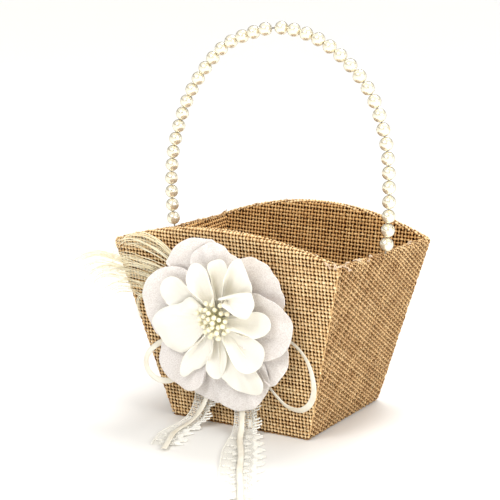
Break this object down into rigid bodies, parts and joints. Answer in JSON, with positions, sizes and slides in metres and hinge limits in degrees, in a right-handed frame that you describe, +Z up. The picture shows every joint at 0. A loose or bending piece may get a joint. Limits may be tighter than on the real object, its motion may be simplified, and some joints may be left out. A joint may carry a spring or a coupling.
{
  "type": "flower girl basket",
  "caption": "Small flared basket of burlap-covered boards with arched front and back, a leaning handle of pearls on wire, and a cloth flower with feather, ribbons and lace.",
  "frame": {"origin": "middle of the underside of the base cloth, on the surface that the basket stands on", "axes": "+Z up; -Y out of the front, which carries the flower; +X to the right as seen from the front"},
  "size_m": [0.1786, 0.2049, 0.225],
  "materials": {
    "burlap": "plain-woven jute, matte, tan",
    "lining_burlap": "plain-woven jute, matte, darker tan",
    "chipboard": "grey-brown pressed board, hidden",
    "wire": "drawn steel wire",
    "pearl": "ivory pearlescent coat over plastic",
    "felt": "pressed felt, ivory",
    "organza": "sheer shimmering cloth, cool white",
    "satin": "satin, ivory",
    "stamen": "lacquered cream bead tips on thread",
    "feather": "cream feather barbs",
    "ribbon": "single-face satin ribbon, ivory",
    "lace": "cotton net lace with an eyelash edge, off-white"
  },
  "bodies": {
    "basket": {"front_cloth": "burlap", "back_cloth": "burlap", "left_cloth": "burlap", "right_cloth": "burlap", "base_cloth": "burlap", "front_board": "chipboard", "back_board": "chipboard", "left_board": "chipboard", "right_board": "chipboard", "base_board": "chipboard", "lining": "lining_burlap", "flower_backing": "felt", "outer_petals": "organza", "inner_petals": "satin", "stamens": "stamen", "feather": "feather", "ribbon_right": "ribbon", "ribbon_left": "ribbon", "lace_right": "lace", "lace_left": "lace"},
    "handle": {"handle_wire": "wire", "pearl_01": "pearl", "pearl_02": "pearl", "pearl_03": "pearl", "pearl_04": "pearl", "pearl_05": "pearl", "pearl_06": "pearl", "pearl_07": "pearl", "pearl_08": "pearl", "pearl_09": "pearl", "pearl_10": "pearl", "pearl_11": "pearl", "pearl_12": "pearl", "pearl_13": "pearl", "pearl_14": "pearl", "pearl_15": "pearl", "pearl_16": "pearl", "pearl_17": "pearl", "pearl_18": "pearl", "pearl_21": "pearl", "pearl_22": "pearl", "pearl_23": "pearl", "pearl_24": "pearl", "pearl_25": "pearl", "pearl_26": "pearl", "pearl_27": "pearl", "pearl_28": "pearl", "pearl_29": "pearl", "pearl_30": "pearl", "pearl_31": "pearl", "pearl_32": "pearl", "pearl_33": "pearl", "pearl_34": "pearl", "pearl_35": "pearl", "pearl_36": "pearl", "pearl_37": "pearl", "pearl_38": "pearl", "pearl_39": "pearl"},
    "slack_pearl_left": {"pearl_19": "pearl"},
    "slack_pearl_right": {"pearl_20": "pearl"}
  },
  "joints": [
    {"name": "handle_lean", "type": "hinge", "parent": "basket", "child": "handle", "pos_m": [0, 0, 0.095], "axis": [1, 0, 0], "range_deg": [-15, 15]},
    {"name": "left_slack_slide", "type": "slide", "parent": "handle", "child": "slack_pearl_left", "axis": [0.9803, 0, 0.1974], "range_m": [0, 0.0012]},
    {"name": "right_slack_slide", "type": "slide", "parent": "handle", "child": "slack_pearl_right", "axis": [-1, 0, 0.0033], "range_m": [0, 0.0012]}
  ]
}
